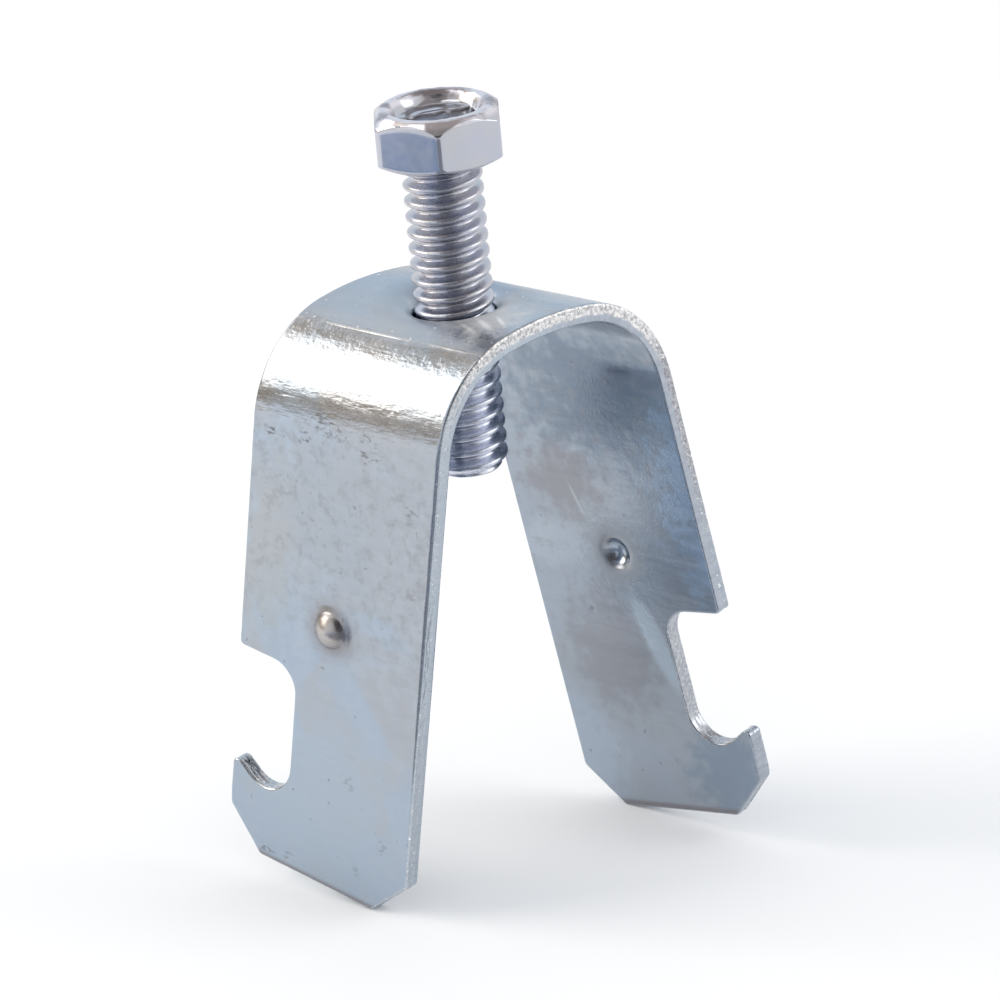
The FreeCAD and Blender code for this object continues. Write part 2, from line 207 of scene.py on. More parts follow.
# Half width, radii of the sheet's middle, and lengths along it
HALF = STRIP_WIDTH / 2
CROWN_MIDDLE, BEND_MIDDLE = CROWN_RADIUS - GAUGE / 2, BEND_RADIUS - GAUGE / 2
CROWN_ARC = CROWN_SWEEP * CROWN_MIDDLE
BEND_SWEEP = math.pi / 2 - CROWN_SWEEP - SPLAY
BEND_ARC = BEND_SWEEP * BEND_MIDDLE


def smoothstep(low, high, x):
    """Eased step from 0 at low to 1 at high; low may be the larger one."""
    t = np.clip((x - low) / (high - low), 0, 1)
    return t * t * (3 - 2 * t)


def full_turn(count):
    """Angles of even steps round a circle."""
    return np.arange(count) * 2 * math.pi / count


def ring(angles, radius, level):
    """One turn of points about Z."""
    x, y = radius * np.cos(angles), radius * np.sin(angles)
    return np.stack(np.broadcast_arrays(x, y, level), axis=1)


def quarter(start, end, count):
    """Pairs of 1 - cosine and 1 - sine, for count angles from start to end in degrees."""
    angles = np.radians(np.linspace(start, end, count))
    return zip(1 - np.cos(angles), 1 - np.sin(angles))


# Shape of the folded strip

def unskewed(reach, across):
    """Run and slip of places on the flat strip."""
    run = reach * math.cos(SKEW) + across * math.sin(SKEW)
    slip = across * math.cos(SKEW) - reach * math.sin(SKEW)
    return run, slip


def skewed(run, slip):
    """The reverse of unskewed."""
    reach = run * math.cos(SKEW) - slip * math.sin(SKEW)
    across = run * math.sin(SKEW) + slip * math.cos(SKEW)
    return reach, across


def folded(run, slip, height):
    """Points of the folded strip in metres; height is outwards from the middle of the sheet."""
    side = np.where(run < 0, -1, 1)
    run = np.abs(run)
    bend_x = (CROWN_RADIUS - BEND_RADIUS) * math.sin(CROWN_SWEEP)
    bend_z = (CROWN_RADIUS - BEND_RADIUS) * math.cos(CROWN_SWEEP)
    on_crown = np.clip(run, 0, CROWN_ARC) / CROWN_MIDDLE
    on_bend = np.clip(run - CROWN_ARC, 0, BEND_ARC) / BEND_MIDDLE
    on_leg = np.clip(run - CROWN_ARC - BEND_ARC, 0, None)
    lean = on_crown + on_bend
    flat_top = run <= CROWN_ARC
    radius = np.where(flat_top, CROWN_MIDDLE, BEND_MIDDLE) + height
    x = np.where(flat_top, 0, bend_x) + radius * np.sin(lean) + on_leg * math.sin(SPLAY)
    z = np.where(flat_top, 0, bend_z) + radius * np.cos(lean) - on_leg * math.cos(SPLAY)
    points = np.stack([side * x, slip, z - CROWN_RADIUS + CROWN_TOP], axis=-1)
    return points * MM


def rounded(corners, step):
    """A closed outline through rounded corners of (x, y, radius), cut into steps."""
    points = []
    count = len(corners)
    for index, (x, y, radius) in enumerate(corners):
        corner = Vector((x, y))
        before = Vector(corners[index - 1][:2]) - corner
        after = Vector(corners[(index + 1) % count][:2]) - corner
        half_angle = before.angle(after) / 2
        tangent = radius / math.tan(half_angle)
        middle = (before.normalized() + after.normalized()).normalized()
        centre = corner + middle * radius / math.sin(half_angle)
        start = corner + before.normalized() * tangent - centre
        turn = (math.pi - 2 * half_angle) * (1 if before.cross(after) < 0 else -1)
        pieces = max(4, math.ceil(abs(turn) * radius / step))
        for piece in range(pieces + 1):
            points.append(centre + Matrix.Rotation(turn * piece / pieces, 2) @ start)
    outline = []
    for index, point in enumerate(points):
        following = points[(index + 1) % len(points)]
        gap = (following - point).length
        if gap < step / 4:
            continue
        pieces = max(1, round(gap / step))
        outline.extend(point.lerp(following, piece / pieces) for piece in range(pieces))
    return np.array([tuple(point) for point in outline])


def strip_outline():
    """The flat strip, anticlockwise, as (reach, across)."""
    ramp_meets_wall = POCKET_REACH - POCKET_RADIUS + POCKET_RADIUS * math.cos(HOOK_SLOPE)
    ramp_meets_wall += POCKET_RADIUS * (1 + math.sin(HOOK_SLOPE)) * math.tan(HOOK_SLOPE)
    tip = POCKET_REACH - HOOK_RISE
    land = NOTCH_DEPTH - (ramp_meets_wall - tip) / math.tan(HOOK_SLOPE)
    leg = [
        (0, NOTCH_REACH, CORNER_ROUND),
        (NOTCH_DEPTH, NOTCH_REACH, NOTCH_CORNER),
        (NOTCH_DEPTH, ramp_meets_wall, POCKET_RADIUS),
        (land, tip, HOOK_ROUND),
        (0, tip, CORNER_ROUND),
        (0, FOOT_REACH - FOOT_CHAMFER, FOOT_ROUND),
        (FOOT_CHAMFER, FOOT_REACH, FOOT_ROUND),
        (STRIP_WIDTH - FOOT_CHAMFER, FOOT_REACH, FOOT_ROUND),
        (STRIP_WIDTH, FOOT_REACH - FOOT_CHAMFER, FOOT_ROUND),
    ]
    right = [(reach, depth - HALF, radius) for depth, reach, radius in leg]
    left = [(-reach, -across, radius) for reach, across, radius in right]
    return rounded(right + left, OUTLINE_STEP)


def inward(outline):
    """Unit normals of an anticlockwise outline, pointing into it."""
    along = np.roll(outline, -1, axis=0) - np.roll(outline, 1, axis=0)
    along /= np.linalg.norm(along, axis=1, keepdims=True)
    return np.stack([-along[:, 1], along[:, 0]], axis=1)


def distance_to(points, outline):
    """Distance of points inside an outline from it, negative outside."""
    start, end = outline, np.roll(outline, -1, axis=0)
    edge = end - start
    best = np.full(len(points), np.inf)
    inside = np.zeros(len(points), bool)
    for a, b, d in zip(start, end, edge):
        share = np.clip(((points - a) @ d) / (d @ d), 0, 1)
        best = np.minimum(best, np.hypot(*(points - a - share[:, None] * d).T))
        crosses = (a[1] > points[:, 1]) != (b[1] > points[:, 1])
        rise = (points[:, 1] - a[1]) / np.where(abs(d[1]) < SLIVER, SLIVER, d[1])
        inside ^= crosses & (points[:, 0] < a[0] + rise * d[0])
    return np.where(inside, best, -best)


def hole_ring(radius):
    """A circle round the screw's axis on the outer face, as (reach, across)."""
    x, y = ring(full_turn(HOLE_COUNT), radius, 0)[:, :2].T
    on_crown = np.arcsin(np.abs(x) / CROWN_RADIUS)
    bend_share = (CROWN_RADIUS / BEND_RADIUS - 1) * math.sin(CROWN_SWEEP)
    on_bend = np.arcsin(np.abs(x) / BEND_RADIUS - bend_share)
    past_crown = np.clip(on_bend - CROWN_SWEEP, 0, None) * BEND_MIDDLE
    over_crown = np.clip(on_crown, 0, CROWN_SWEEP) * CROWN_MIDDLE
    run = np.sign(x) * (over_crown + past_crown)
    return np.stack(skewed(run, y), axis=1)


def dimple_height(distance, outer):
    """How far one face of a dimple stands outwards, by the distance from its centre."""
    if outer:
        foot, rise, spread = DIMPLE_RADIUS, SKIRT_HEIGHT, SKIRT_WIDTH
    else:
        foot, rise, spread = DIMPLE_HOLLOW, LIP_HEIGHT, LIP_WIDTH
    ball = (foot ** 2 + DIMPLE_HEIGHT ** 2) / (2 * DIMPLE_HEIGHT)
    dome = np.sqrt(np.clip(ball ** 2 - distance ** 2, 0, None)) - ball + DIMPLE_HEIGHT
    skirt = rise * np.exp(-((distance - foot) / spread) ** 2)
    return np.where(distance < foot, np.maximum(dome, 0), 0) + skirt * smoothstep(0, foot, distance)


def hole_dip(radius):
    """How far drawing the hole has pulled the sheet down round it."""
    return DIP_DEPTH * np.exp(-((radius - HOLE_RADIUS) / DIP_SPREAD) ** 2)


def face_height(reach, across, outer):
    """Height of the outer or inner face over the middle of the sheet, with its dimples."""
    height = np.full(len(reach), OUTER if outer else INNER)
    for middle in DIMPLES:
        height += dimple_height(np.hypot(reach - middle, across), outer)
    return height - hole_dip(np.hypot(*unskewed(reach, across)))


def run_lines():
    """Runs of the mesh's lines, closer together where the sheet is curved."""
    curved = CROWN_ARC + BEND_ARC + BEND_MARGIN
    near = np.arange(0, curved, BEND_STEP)
    far = np.arange(curved + FLAT_START, FOOT_REACH + HALF, FLAT_STEP)
    half = np.concatenate([near, far])
    return np.concatenate([-half[:0:-1], half])


def grid_points(beside, clear_radius):
    """A face's points inside the loop beside its outline, clear of the hole and the dimples."""
    slips = np.arange(-GRID_HALF, GRID_HALF, FLAT_STEP)
    run, slip = np.array([(run, slip) for run in run_lines() for slip in slips]).T
    reach, across = skewed(run, slip)
    points = np.stack([reach, across], axis=1)
    keep = (np.abs(across) < HALF) & (distance_to(points, beside) > RIM_CLEARANCE)
    keep &= np.hypot(run, slip) > clear_radius
    ringed = DIMPLE_RADIUS + DIMPLE_MARGIN + DIMPLE_CLEARANCE
    for middle in DIMPLES:
        keep &= np.hypot(reach - middle, across) > ringed
    return points[keep]


def dimple_points():
    """Points of the rings round both dimples."""
    points = []
    for middle in DIMPLES:
        points.append((middle, 0))
        for radius in np.arange(DIMPLE_STEP, DIMPLE_RADIUS + DIMPLE_MARGIN, DIMPLE_STEP):
            count = max(8, round(2 * math.pi * radius / DIMPLE_SPACING))
            points.extend(ring(full_turn(count), radius, 0)[:, :2] + (middle, 0))
    return points


def sheet_face(outline, hole_radius, outer):
    """Points and triangles of a face, with a loop beside its outline and beside its hole."""
    beside = outline + inward(outline) * SUPPORT
    hole, hole_beside = hole_ring(hole_radius), hole_ring(hole_radius + SUPPORT)
    loops = [outline, hole, beside, hole_beside]
    inside = grid_points(beside, hole_radius + SUPPORT + HOLE_CLEARANCE)
    flat = np.concatenate([*loops, inside, dimple_points()])
    edges, start = [], 0
    for loop in loops:
        edges += [(start + k, start + (k + 1) % len(loop)) for k in range(len(loop))]
        start += len(loop)
    result = delaunay_2d_cdt([Vector(point) for point in flat], edges, [], 1, SLIVER)
    source = [origins[0] for origins in result[3]]
    triangles = np.array([[source[k] for k in face] for face in result[2]])
    centres = flat[triangles].mean(axis=1)
    in_hole = np.hypot(*unskewed(*centres.T)) < np.hypot(*unskewed(*hole[0])) * JUST_INSIDE
    triangles = triangles[~in_hole]
    return flat, triangles if outer else triangles[:, ::-1]


def rollover(outline):
    """Radius of the rounding along the outer face's rim, larger where the foot was cut off."""
    at_foot = smoothstep(FOOT_REACH - FOOT_CUT, FOOT_REACH - FOOT_CUT_FULL, np.abs(outline[:, 0]))
    return ROLLOVER + (FOOT_ROLLOVER - ROLLOVER) * at_foot


def edge_profile(outline):
    """Rows of the sheared edge as (inset, height over the sheet's middle, share of wear)."""
    roll = rollover(outline)
    rows = [(roll * side, OUTER - roll * down, ROLLED_WEAR) for side, down in quarter(90, 0, RIM_ROWS)]
    low, high = INNER + BURR_ROUND, OUTER - roll
    for share in np.linspace(0, 1, EDGE_ROWS)[1:-1]:
        wear = TORN_WEAR if share < FRACTURE_SHARE else CUT_WEAR
        rows.append((np.zeros_like(roll), high + share * (low - high), wear))
    for side, up in quarter(0, 90, BURR_ROWS):
        inset, height = BURR_ROUND * side, INNER + BURR_ROUND * up
        rows.append((np.full_like(roll, inset), np.full_like(roll, height), BURR_WEAR))
    return rows


def hole_profile():
    """Rows of the drawn hole from outside to inside, as (radius, depth under the outer face)."""
    foot, side = GAUGE + COLLAR_DROP, HOLE_RADIUS + COLLAR_WALL
    entry, root = quarter(90, 0, ENTRY_ROWS), quarter(0, 90, ROOT_ROWS)
    rows = [(HOLE_RADIUS + ENTRY_WIDTH * out, ENTRY_DEPTH * down) for out, down in entry]
    rows += [(HOLE_RADIUS, foot - COLLAR_LEAD), (HOLE_RADIUS + COLLAR_LEAD, foot)]
    rows += [(side - COLLAR_ROUND, foot), (side, foot - COLLAR_ROUND)]
    rows += [(side + COLLAR_ROOT * out, GAUGE + COLLAR_ROOT * down) for out, down in root]
    return rows


def stitched(first, second, count):
    """Quads between two closed rows of vertices."""
    here = np.arange(count)
    following = (here + 1) % count
    return np.stack([first + here, second + here, second + following, first + following], axis=1)


def jitter(points, scale, seed):
    """Smooth noise at points, from -1 to 1. It is the same in each run."""
    offset = Vector((seed, 2 * seed, 3 * seed))
    return np.array([noise.noise(Vector(point) * scale + offset) for point in points])


def new_object(name, data, placement):
    """A mesh, a lamp or a camera, placed in the scene."""
    thing = bpy.data.objects.new(name, data)
    thing.matrix_world = placement
    bpy.context.scene.collection.objects.link(thing)
    return thing


def new_piece(name, points, faces, materials, kinds):
    """A smooth mesh in the scene; kinds has the number of each face's material."""
    mesh = bpy.data.meshes.new(name)
    mesh.from_pydata(points.tolist(), [], faces)
    for material in materials:
        mesh.materials.append(material)
    mesh.polygons.foreach_set("material_index", kinds)
    mesh.polygons.foreach_set("use_smooth", np.ones(len(faces), bool))
    mesh.update()
    return new_object(name, mesh, Matrix())


class Skin:
    """Points, faces and material numbers of the strip, gathered part by part."""

    def __init__(self):
        self.points, self.places, self.faces, self.kinds = [], [], [], []

    def add(self, points, places):
        """Add points with their places on the flat strip, and return the number of the first."""
        first = sum(len(part) for part in self.points)
        self.points.append(points)
        self.places.append(places)
        return first

    def add_flat(self, flat, heights):
        """Add points of the folded strip, from flat places and heights over the sheet's middle."""
        return self.add(folded(*unskewed(*flat.T), heights), np.column_stack([flat, heights]))

    def join(self, faces, kind):
        """Add faces with the material of number kind."""
        self.faces += faces.tolist()
        self.kinds += [kind] * len(faces)


def add_face(skin, outline, inset, hole_radius, outer):
    """One face of the sheet inside its rounded rim; returns the number of its first point."""
    rim = outline + inward(outline) * inset[:, None]
    flat, triangles = sheet_face(rim, hole_radius, outer)
    first = skin.add_flat(flat, face_height(*flat.T, outer))
    skin.join(triangles + first, PLATED)
    return first


def add_sheared_edge(skin, outline, rows, outer, inner):
    """The edge from the outer face's rim to the inner one's, worn back where the metal broke."""
    normals = inward(outline)
    count = len(outline)
    previous = outer
    for number, (inset, height, rough) in enumerate(rows[1:-1], start=1):
        places = outline + normals * inset[:, None]
        spots = np.column_stack([places, height * 2.2])
        lumps = jitter(spots, scale=2.1, seed=5) + 0.6 * jitter(spots, scale=5.3, seed=9)
        wear = np.clip(FRACTURE_DEPTH * rough * (0.6 + lumps), 0, None)
        places = places + normals * wear[:, None]
        lift = WAVE_HEIGHT * jitter(spots, scale=0.9, seed=3)
        current = skin.add_flat(places, height + lift * (height > 0))
        skin.join(stitched(previous, current, count), PLATED if number <= 2 else SHEARED)
        previous = current
    skin.join(stitched(previous, inner, count), SHEARED)


def add_hole(skin, rows, outer, inner):
    """The drawn hole and its collar, from the outer face's ring to the inner one's."""
    crown_top = CROWN_TOP * MM
    previous = outer
    for radius, depth in rows[1:-1]:
        flat = hole_ring(radius)
        on_face = folded(*unskewed(*flat.T), np.full(HOLE_COUNT, OUTER))[:, 2]
        level = crown_top - smoothstep(HOLE_RADIUS, rows[0][0], radius) * (crown_top - on_face)
        level -= (depth + hole_dip(radius)) * MM
        points = ring(full_turn(HOLE_COUNT), radius * MM, level)
        current = skin.add(points, np.column_stack([flat, np.full(HOLE_COUNT, OUTER - depth)]))
        skin.join(stitched(previous, current, HOLE_COUNT)[:, ::-1], PLATED)
        previous = current
    skin.join(stitched(previous, inner, HOLE_COUNT)[:, ::-1], PLATED)


def clamp_strip(materials):
    """The folded strip as one mesh: two faces, the sheared edge and the drawn hole."""
    outline = strip_outline()
    rows, hole_rows = edge_profile(outline), hole_profile()
    skin = Skin()
    outer = add_face(skin, outline, rows[0][0], hole_rows[0][0], True)
    inner = add_face(skin, outline, rows[-1][0], hole_rows[-1][0], False)
    add_sheared_edge(skin, outline, rows, outer, inner)
    add_hole(skin, hole_rows, outer + len(outline), inner + len(outline))
    piece = new_piece("clamp_strip", np.concatenate(skin.points), skin.faces, materials, skin.kinds)
    attribute = piece.data.attributes.new("flat_place", "FLOAT_VECTOR", "POINT")
    places = np.concatenate(skin.places)
    attribute.data.foreach_set("vector", places.astype(np.float32).ravel())
    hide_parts("clamp_body")
    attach(piece, "clamp")


# Shape of the screw

def turned(name, rows, materials):
    """A closed skin through rows of points round Z, with one more point at each end."""
    count = len(rows[0])
    bottom = (len(rows) - 1) * count
    faces = []
    for start in range(0, bottom, count):
        faces += stitched(start, start + count, count).tolist()
    first, last = bottom + count, bottom + count + 1
    for k in range(count):
        following = (k + 1) % count
        faces.append([first, k, following])
        faces.append([last, bottom + following, bottom + k])
    points = np.concatenate([*rows, [rows[0].mean(axis=0), rows[-1].mean(axis=0)]])
    return new_piece(name, points * MM, faces, materials, [0] * len(faces))


def thread_wave(phase):
    """Height of the thread, from 0 at its root to 1 at its crest, by turns from a crest."""
    away = np.abs((phase + 0.5) % 1 - 0.5)
    flank = np.clip((ROOT_START - away) / FLANK_WIDTH, 0, 1)
    return flank - FLANK_ROUNDING * np.sin(2 * math.pi * flank) / (2 * math.pi)


def hexagon(angles):
    """Distance from the head's axis to its side, with rounded corners."""
    from_corner = np.abs((angles - HEAD_TURN + math.pi / 6) % (math.pi / 3) - math.pi / 6)
    flat = HEAD_FLATS / 2 / np.cos(math.pi / 6 - from_corner)
    centre = (HEAD_FLATS / 2 - HEAD_ROUND) / math.cos(math.pi / 6)
    off = centre * np.sin(from_corner)
    corner = centre * np.cos(from_corner) + np.sqrt(np.clip(HEAD_ROUND ** 2 - off ** 2, 0, None))
    round_end = math.atan(HEAD_ROUND / 2 / (centre + HEAD_ROUND * math.cos(math.pi / 6)))
    return np.where(from_corner < round_end, corner, flat)


def shoulder_drop(radius):
    """How far the head's rounded and chamfered top lies below its rim."""
    beyond = np.clip(radius - HEAD_CROWN, 0, None)
    round_end = SHOULDER_ROUND * math.sin(HEAD_SLOPE)
    on_round = np.minimum(beyond, round_end)
    arc = SHOULDER_ROUND - np.sqrt(SHOULDER_ROUND ** 2 - on_round ** 2)
    return arc + (beyond - on_round) * math.tan(HEAD_SLOPE)


def head_hollow(x, y):
    """Depth of the head's dished, slotted and uneven top below its rim."""
    radius = np.hypot(x, y)
    dish = DISH_DEPTH * (1 - smoothstep(*DISH_SLOPE, radius))
    lumps = LUMP_HEIGHT * np.sin(3.1 * x + 1.9 * y) * np.cos(2.7 * y - 1.3 * x + 0.8)
    lumps += RIPPLE_HEIGHT * np.sin(8.5 * radius + 0.9 * np.sin(1.7 * x))
    lumps *= smoothstep(HEAD_CROWN, HEAD_CROWN - 0.7, radius)
    along = x * math.cos(SLOT_TURN) + y * math.sin(SLOT_TURN)
    away = -x * math.sin(SLOT_TURN) + y * math.cos(SLOT_TURN)
    slot = 1 - smoothstep(*SLOT_SIDE, np.abs(away))
    slot *= 1 - smoothstep(SLOT_END - SLOT_RUNOUT, SLOT_END, np.abs(along))
    return np.maximum(dish + SLOT_DEPTH * slot + lumps, 0)


def head_rows(angles):
    """Rows of the head, from the middle of its top to its foot."""
    side = hexagon(angles)
    rows = []
    for radius in np.linspace(DISH_START, HEAD_CROWN, DISH_ROWS):
        hollow = head_hollow(radius * np.cos(angles), radius * np.sin(angles))
        rows.append(ring(angles, radius, HEAD_TOP - hollow))
    for share in SHOULDER_SHARES:
        radius = HEAD_CROWN + share * (side - HEAD_CROWN)
        rows.append(ring(angles, radius, HEAD_TOP - shoulder_drop(radius)))
    for row in rows:
        near_rim = smoothstep(*MARKED_RIM, np.hypot(row[:, 0], row[:, 1]))
        marks = 1 + jitter(row, scale=1.5, seed=7) + 0.5 * jitter(row, scale=3.4, seed=2)
        row[:, 2] -= MARK_DEPTH * near_rim * np.clip(marks, 0, None)
    shoulder = HEAD_TOP - shoulder_drop(side)
    heel = HEAD_FOOT + np.clip(side - BEARING_RADIUS, 0, None) * math.tan(BEARING_SLOPE)
    side_top, side_foot = shoulder - TOP_EDGE[-1][1], heel + HEEL_EDGE[0][1]
    rows += [ring(angles, side - inset, shoulder - drop) for inset, drop in TOP_EDGE]
    rows += [ring(angles, side, side_top + share * (side_foot - side_top)) for share in SIDE_SHARES]
    rows += [ring(angles, side - inset, heel + lift) for inset, lift in HEEL_EDGE]
    return rows


def shank_rows(angles):
    """Rows of the neck, the thread and the tip, from the head's foot down."""
    rows = [ring(angles, radius, HEAD_FOOT - drop) for radius, drop in NECK_RINGS]
    for level in np.arange(HEAD_FOOT - THREAD_START, TIP_END + TIP_GAP, -THREAD_STEP):
        phase = (level - CREST_LEVEL - PITCH * (angles - CREST_AZIMUTH) / (2 * math.pi)) / PITCH
        full = THREAD_RADIUS - THREAD_DEPTH * (1 - thread_wave(phase))
        fade = smoothstep(*THREAD_FADE, HEAD_FOOT - NECK_LENGTH - level)
        cone = TIP_RADIUS + (level - TIP_END) / TIP_TAPER * (THREAD_RADIUS - TIP_RADIUS)
        radius = np.minimum(NECK_RADIUS + (full - NECK_RADIUS) * fade, cone)
        rows.append(ring(angles, radius, level))
    return rows + [ring(angles, radius, TIP_END) for radius in TIP_RINGS]


def clamp_bolt(materials):
    """The hex head screw as one closed skin, from its dished top to its tip."""
    even = full_turn(SCREW_COUNT)
    angles = even - CORNER_BUNCHING * np.sin(6 * (even - HEAD_TURN))
    piece = turned("hex_head_screw", head_rows(angles) + shank_rows(angles), materials)
    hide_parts("clamp_screw")
    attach(piece, "screw")


# Materials

class Nodes:
    """The nodes of a material or world, with the few kinds that are used here."""

    def __init__(self, owner, shader="Principled BSDF"):
        owner.use_nodes = True
        self.owner = owner
        self.tree = owner.node_tree
        self.shader = self.tree.nodes[shader]

    def fill(self, node, inputs):
        """Give a node's inputs fixed values or other nodes' outputs."""
        for name, source in inputs.items():
            target = node.inputs[name]
            if not isinstance(source, (int, float, tuple)):
                self.tree.links.new(source, target)
            elif target.type == "RGBA":
                target.default_value = (*source, 1)
            else:
                target.default_value = source

    def add(self, kind, inputs, output, **settings):
        """An output of a new shader node, which has these inputs and settings."""
        node = self.tree.nodes.new(f"ShaderNode{kind}")
        for name, value in settings.items():
            setattr(node, name, value)
        self.fill(node, inputs)
        return node.outputs[output]

    def place(self, scale=(1, 1, 1)):
        """Object coordinates in millimetres, stretched by scale."""
        scale = tuple(value / MM for value in scale)
        return self.add("Mapping", {"Vector": self.add("TexCoord", {}, "Object"), "Scale": scale}, "Vector")

    def flat_place(self, scale=(1, 1, 1)):
        """Reach, across and height over the sheet's middle, in millimetres."""
        flat = self.add("Attribute", {}, "Vector", attribute_name="flat_place")
        return self.add("Mapping", {"Vector": flat, "Scale": scale}, "Vector")

    def along(self, vector, direction):
        """Distance of a place in a direction."""
        return self.add("VectorMath", {0: vector, 1: direction}, "Value", operation="DOT_PRODUCT")

    def noise(self, vector, scale, detail=3, roughness=0.5, distortion=0):
        """Cloudy noise from 0 to 1."""
        inputs = {"Vector": vector, "Scale": scale, "Detail": detail, "Roughness": roughness}
        return self.add("TexNoise", {**inputs, "Distortion": distortion}, "Fac")

    def ramp(self, value, low, high, start=0, end=1):
        """Eased step from start, where value is low, to end, where it is high."""
        inputs = {"Value": value, "From Min": low, "From Max": high, "To Min": start, "To Max": end}
        return self.add("MapRange", inputs, "Result", interpolation_type="SMOOTHSTEP")

    def math(self, operation, *values):
        """A sum, product or the like of numbers and outputs."""
        return self.add("Math", dict(enumerate(values)), "Value", operation=operation)

    def patch(self, flat, centre, size, turn=0, ragged=None, softness=0.7):
        """Share of an oval patch, 1 in its middle; centre is (reach, across, height)."""
        oval = {"Vector": flat, "Location": centre, "Scale": (*size, PATCH_DEPTH)}
        oval["Rotation"] = (0, 0, math.radians(turn))
        place = self.add("Mapping", oval, "Vector", vector_type="TEXTURE")
        distance = self.add("VectorMath", {0: place}, "Value", operation="LENGTH")
        if ragged:
            distance = self.math("SUBTRACT", distance, RAGGEDNESS / 2)
            distance = self.math("MULTIPLY_ADD", ragged, RAGGEDNESS, distance)
        return self.ramp(distance, 1, 1 - softness)

    def mix(self, share, first, second):
        """The first colour where share is 0 and the second where it is 1."""
        return self.add("Mix", {"Factor": share, "A": first, "B": second}, "Result", data_type="RGBA")

    def tinted(self, colour, *marks):
        """A colour under marks of (share, colour, strength)."""
        for share, mark, strength in marks:
            colour = self.mix(self.math("MULTIPLY", share, strength), colour, mark)
        return colour

    def bump(self, height, strength, distance, normal=None):
        """A surface direction tilted by a height, over one that is already tilted."""
        inputs = {"Height": height, "Strength": strength, "Distance": distance * MM}
        if normal:
            inputs["Normal"] = normal
        return self.add("Bump", inputs, "Normal")

    def finish(self, colour, roughness, normal, metallic=1):
        """Give the material its surface, and return it."""
        surface = {"Base Color": colour, "Roughness": roughness, "Normal": normal, "Metallic": metallic}
        self.fill(self.shader, surface)
        return self.owner


# Directions on the flat strip
ALONG_REACH, ALONG_ACROSS, OUTWARDS = (1, 0, 0), (0, 1, 0), (0, 0, 1)
ALONG_RUN = (math.cos(SKEW), math.sin(SKEW), 0)

# A patch's half depth, so that it stays near its own face, and how far noise moves its outline
PATCH_DEPTH = 1.2
RAGGEDNESS = 1.6

# Colours of the zinc and of its marks, and of the painted shade and highlights on it
BLUE_ZINC = (0.385, 0.46, 0.555)
GREY_ZINC = (0.41, 0.435, 0.475)
PALE_ZINC = (0.46, 0.51, 0.57)
# painted shade: the darker colour of the inner face, inside the clamp
SHADED_INNER_ZINC = (0.36, 0.405, 0.465)
SCUFFED = (0.33, 0.345, 0.37)
SPECKLED = (0.20, 0.20, 0.22)
GRIMY = (0.13, 0.12, 0.12)
# painted highlight for the glints near the crown
PAINTED_GLINT = (0.85, 0.86, 0.88)
MOTTLED = (0.30, 0.315, 0.345)
# painted shade for the feet's bottom edges
FOOT_EDGE_SHADE = (0.24, 0.22, 0.23)
# painted shade round the outer domes, a painted highlight on their tops, and painted shade round the inner
# hollows
DOME_SHADE = (0.27, 0.25, 0.25)
DOME_HIGHLIGHT = (0.58, 0.55, 0.53)
BOWL_SHADE = (0.33, 0.31, 0.30)
CREASED = (0.80, 0.79, 0.77)
DULLED = (0.59, 0.59, 0.59)
# painted highlight beside the hole
HOLE_HIGHLIGHT = (0.92, 0.91, 0.90)

# Stains of each face, and one patch of painted shade: place, size, colour and strength
INNER_STAINS = [
    # the first patch, dark inside the top of the right leg below the bend, is painted shade
    ((17, -2), (9, 12), (0.215, 0.265, 0.33), 0.85),
    ((27, -9.5), (13, 5), (0.43, 0.55, 0.70), 0.85),
    ((50, -6.5), (6, 6), (0.26, 0.32, 0.40), 0.8),
    ((30.5, 6), (3, 6), (0.44, 0.50, 0.57), 0.6),
    ((48, 8), (7, 4.5), (0.42, 0.49, 0.585), 0.85),
    ((25, 3.8), (4.2, 5.2), (0.30, 0.30, 0.325), 0.8),
    ((40, 3), (8, 6.5), (0.315, 0.33, 0.365), 0.85),
]
OUTER_STAINS = [
    ((-22, 1), (11, 12), (0.40, 0.435, 0.48), 0.8),
    ((-46, 0), (10, 11), (0.415, 0.49, 0.575), 0.8),
    ((-6, 3), (6, 9), (0.48, 0.515, 0.565), 0.75),
    ((6, 3), (6, 8), (0.35, 0.42, 0.53), 0.75),
    ((5.2, -6.5), (4, 5), (0.31, 0.40, 0.51), 0.75),
    ((-27, 7), (9, 3.5), (0.43, 0.455, 0.475), 0.7),
]
# A wiped streak and a scratch inside the right leg: place, size, softness, colour and strength
STREAK_TURN = -17
STREAKS = [
    ((38.8, -1.9), (6, 1.35), 0.5, (0.49, 0.57, 0.65), 0.95),
    ((26.8, 2.7), (2.2, 0.2), 0.6, (0.46, 0.50, 0.55), 0.7),
]
# Dark scuffs on the left leg's outer face: place, size, turn and strength
SCUFFS = [
    ((-16.7, 7.4), (0.9, 2), 12, 1),
    ((-16.3, 3.9), (0.9, 1.5), -30, 1),
    ((-15.2, -2.5), (2.2, 1.9), 0, 0.9),
    ((-14.5, 1.5), (1.2, 2.4), 0, 0.9),
    ((-18.5, -7), (1.4, 0.9), 0, 0.7),
    ((-26, -7.6), (1.8, 0.8), 0, 0.4),
    ((-43.5, -2.6), (1.3, 1), 30, 0.35),
    ((-47.5, -6.6), (1.5, 0.7), 0, 0.35),
    ((-52.6, 2.6), (0.6, 1.1), 0, 0.7),
    ((-52.9, 5.2), (0.6, 1.1), 0, 0.7),
    ((-50.6, -3.8), (1.2, 0.5), 40, 0.4),
]
# Painted highlights beside the hole: place, size and turn
HOLE_HIGHLIGHTS = [
    ((-2.2, -6.3), (2.5, 0.38), 72),
    ((-3.2, -5.4), (1.9, 0.3), 78),
    ((-1.2, -7), (1.6, 0.25), 66),
]
